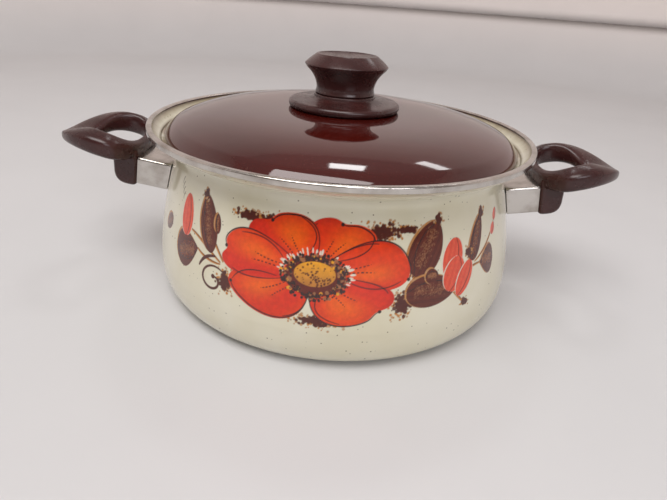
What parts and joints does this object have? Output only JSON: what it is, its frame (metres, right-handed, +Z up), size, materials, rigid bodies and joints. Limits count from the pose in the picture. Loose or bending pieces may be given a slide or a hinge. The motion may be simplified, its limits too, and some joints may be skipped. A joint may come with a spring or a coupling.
{
  "type": "casserole pot with lid",
  "caption": "Round enamelled steel casserole with a flared steel-banded rim, loop handles at each side on steel flame guards, and a domed lift-off lid with a waisted knob.",
  "frame": {"origin": "centre of the flat base, on the surface the pot stands on", "axes": "+Z up out of the pot's mouth, +X along the line through the two handles, +Y across it"},
  "size_m": [0.3628, 0.24, 0.1481],
  "materials": {
    "pot_enamel": "cream vitreous enamel on sheet steel, glossy, with fine dark specks and a printed flower spray",
    "lid_enamel": "maroon vitreous enamel on sheet steel, high gloss",
    "bakelite": "moulded dark brown phenolic, glossy",
    "stainless_trim": "polished stainless steel with fine scratches",
    "zinc_steel": "zinc plated steel",
    "brass_insert": "turned brass",
    "fibre_gasket": "red fibre washer"
  },
  "bodies": {
    "pot": {"pot_body": "pot_enamel", "rim_band": "stainless_trim", "right_flame_guard": "stainless_trim", "right_bracket": "zinc_steel", "right_handle": "bakelite", "right_handle_washer": "zinc_steel", "right_handle_nut": "zinc_steel", "right_handle_screw": "zinc_steel", "left_flame_guard": "stainless_trim", "left_bracket": "zinc_steel", "left_handle": "bakelite", "left_handle_washer": "zinc_steel", "left_handle_nut": "zinc_steel", "left_handle_screw": "zinc_steel"},
    "lid": {"lid_shell": "lid_enamel", "knob_collar": "bakelite", "lid_knob": "bakelite", "knob_insert": "brass_insert", "knob_gasket": "fibre_gasket", "knob_washer": "zinc_steel", "knob_screw": "zinc_steel"}
  },
  "joints": [
    {"name": "lid_lift", "type": "slide", "parent": "pot", "child": "lid", "axis": [0, 0, 1], "range_m": [0, 0.15]}
  ]
}
